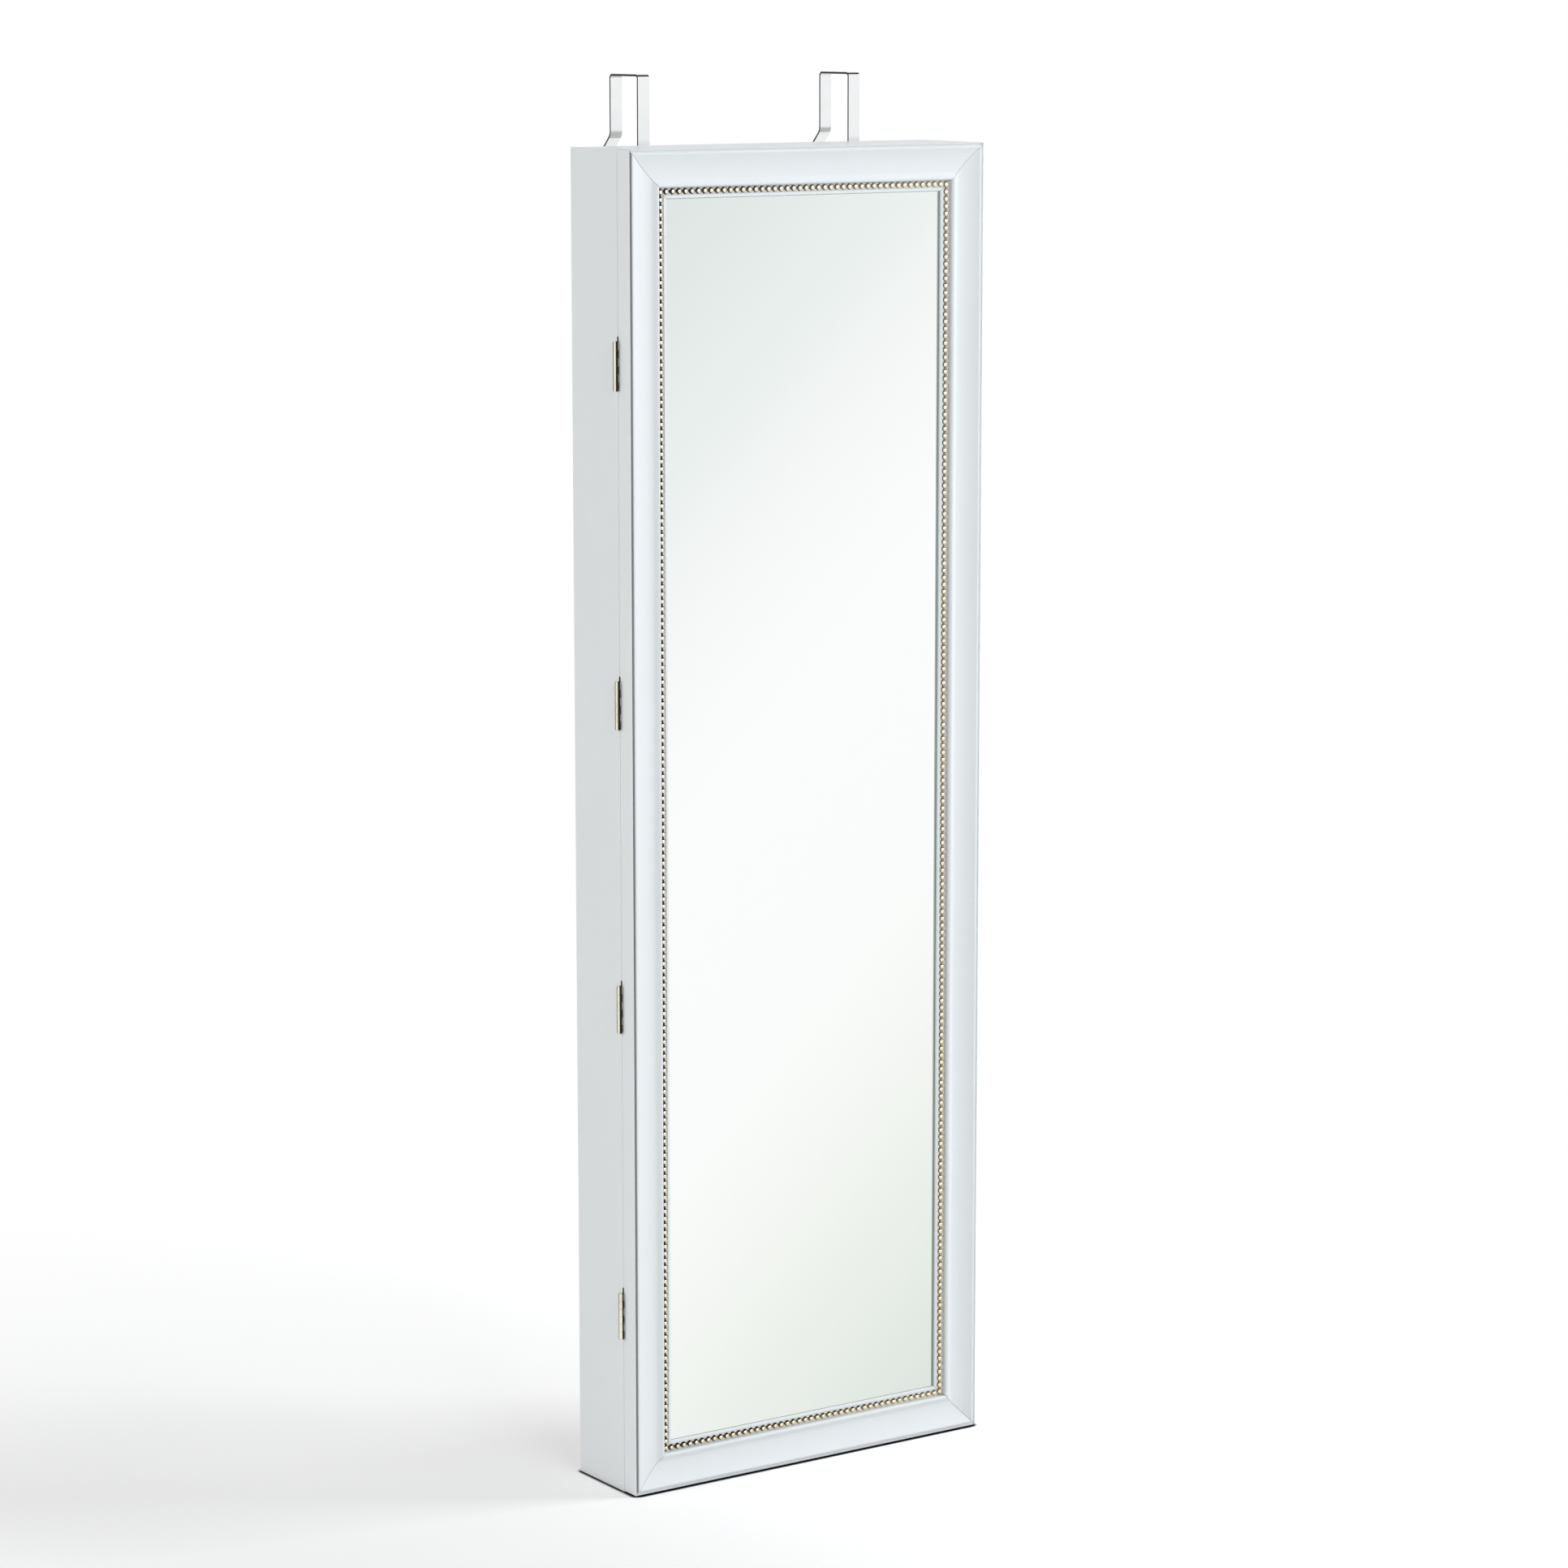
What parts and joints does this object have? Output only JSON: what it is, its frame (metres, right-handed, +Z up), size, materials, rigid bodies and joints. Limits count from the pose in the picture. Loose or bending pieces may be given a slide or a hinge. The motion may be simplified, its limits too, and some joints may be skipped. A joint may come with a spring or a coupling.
{
  "type": "jewelry mirror cabinet",
  "caption": "Tall shallow white cabinet with a full-length mirror door, beaded trim, lined jewelry storage inside and straps that hang it over a door.",
  "frame": {"origin": "centre of the case's underside, on the surface that it stands on", "axes": "+Z up, -Y towards the mirror and the person in front, +X to the right as seen from the front; the hinges are on -X"},
  "size_m": [0.3849, 0.1609, 1.262],
  "materials": {
    "white_lacquer": "satin white lacquer on fibreboard",
    "white_interior": "satin white lacquer on fibreboard",
    "hardboard": "white-faced hardboard",
    "velvet_lining": "short-pile velvet on board",
    "velvet_cushion": "short-pile velvet over foam",
    "gold_beads": "gilded moulded beading",
    "mirror": "silvered float glass",
    "polished_steel": "polished plated steel strap",
    "hinge_brass": "pale brass-plated hinge",
    "gold_metal": "polished brass",
    "white_plastic": "moulded white plastic",
    "bright_steel": "zinc-plated steel"
  },
  "bodies": {
    "case": {"back_lining": "velvet_lining", "back_panel": "hardboard", "back_panel_screws": "bright_steel", "bracelet_rod": "white_interior", "bracelet_rod_cups": "white_plastic", "case_bottom": "white_lacquer", "case_side_left": "white_lacquer", "case_side_right": "white_lacquer", "case_top": "white_lacquer", "catch_core": "bright_steel", "catch_housing": "white_plastic", "catch_screws": "bright_steel", "door_hook_left": "polished_steel", "door_hook_right": "polished_steel", "earring_bar_1": "white_interior", "earring_bar_2": "white_interior", "earring_bar_3": "white_interior", "earring_bar_4": "white_interior", "earring_bar_5": "white_interior", "earring_post_left": "white_interior", "earring_post_right": "white_interior", "guard_rail_1": "gold_metal", "guard_rail_2": "gold_metal", "guard_rail_3": "gold_metal", "hanging_rail": "white_interior", "hinge_1_case_leaf": "hinge_brass", "hinge_2_case_leaf": "hinge_brass", "hinge_3_case_leaf": "hinge_brass", "hinge_4_case_leaf": "hinge_brass", "hinge_case_screws": "bright_steel", "hinge_pins": "hinge_brass", "hook_screws": "bright_steel", "necklace_hooks": "gold_metal", "ring_cushion": "velvet_cushion", "shelf_1": "white_interior", "shelf_2": "white_interior", "shelf_3": "white_interior", "shelf_4": "white_interior", "upright_divider": "white_interior"},
    "door": {"bead_trim_bottom": "gold_beads", "bead_trim_left": "gold_beads", "bead_trim_right": "gold_beads", "bead_trim_top": "gold_beads", "catch_plate": "bright_steel", "catch_plate_screw": "bright_steel", "door_frame_bottom": "white_lacquer", "door_frame_left": "white_lacquer", "door_frame_right": "white_lacquer", "door_frame_top": "white_lacquer", "door_lining": "velvet_lining", "glazier_points": "bright_steel", "hinge_1_door_leaf": "hinge_brass", "hinge_2_door_leaf": "hinge_brass", "hinge_3_door_leaf": "hinge_brass", "hinge_4_door_leaf": "hinge_brass", "hinge_door_screws": "bright_steel", "mirror_backer": "hardboard", "mirror_glass": "mirror"}
  },
  "joints": [
    {"name": "door_swing", "type": "hinge", "parent": "case", "child": "door", "pos_m": [-0.1926, -0.0379, 0], "axis": [0, 0, -1], "range_deg": [0, 180]}
  ]
}
